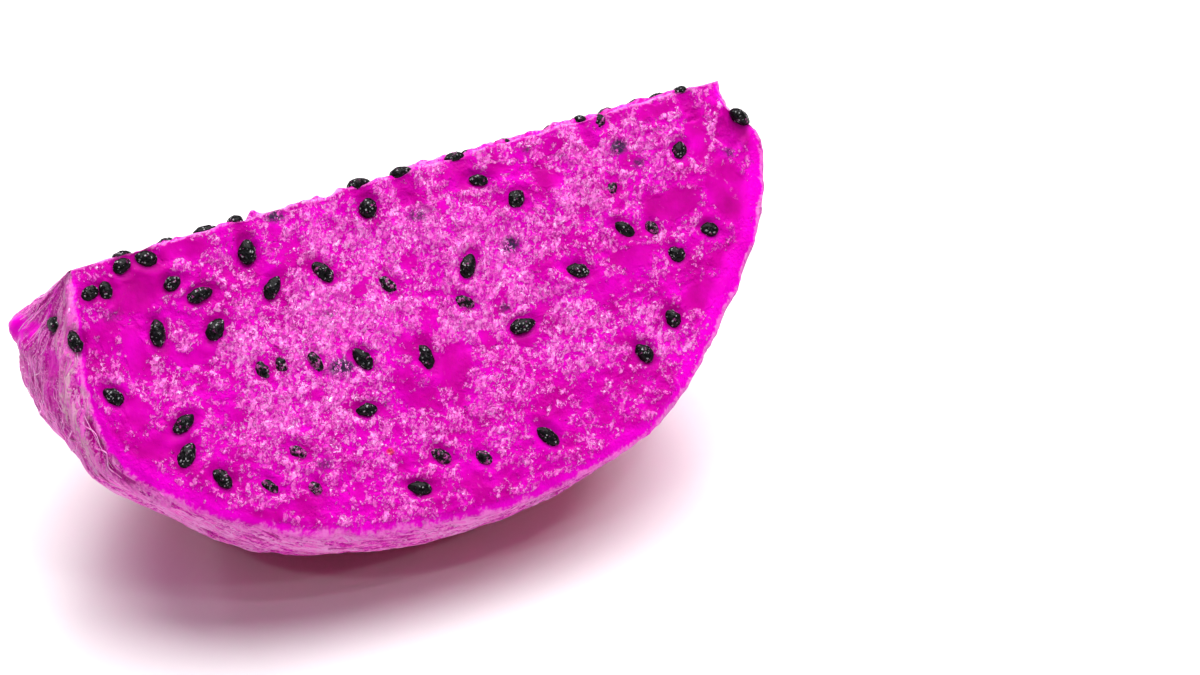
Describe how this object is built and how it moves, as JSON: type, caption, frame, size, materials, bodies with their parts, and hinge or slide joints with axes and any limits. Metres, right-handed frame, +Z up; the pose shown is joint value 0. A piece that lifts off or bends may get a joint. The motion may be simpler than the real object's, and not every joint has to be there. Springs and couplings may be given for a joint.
{
  "type": "dragon fruit wedge",
  "caption": "Peeled quarter wedge of red-fleshed dragon fruit with two cut faces, a straight ridge, a fibrous curved back and black seeds standing out of the flesh.",
  "frame": {"origin": "under the middle of the wedge's bounding box, on the surface it rests on", "axes": "+X along the ridge, which is the fruit's own long axis, towards the pointed end; -Y the side of the cut face seen in the picture; +Z up to the ridge"},
  "size_m": [0.073, 0.0454, 0.0337],
  "materials": {
    "fruit_flesh": "wet, translucent magenta flesh with pale grains, a satin fibrous back and small glossy black seeds"
  },
  "bodies": {
    "root": {"fruit_wedge": "fruit_flesh"}
  },
  "joints": []
}
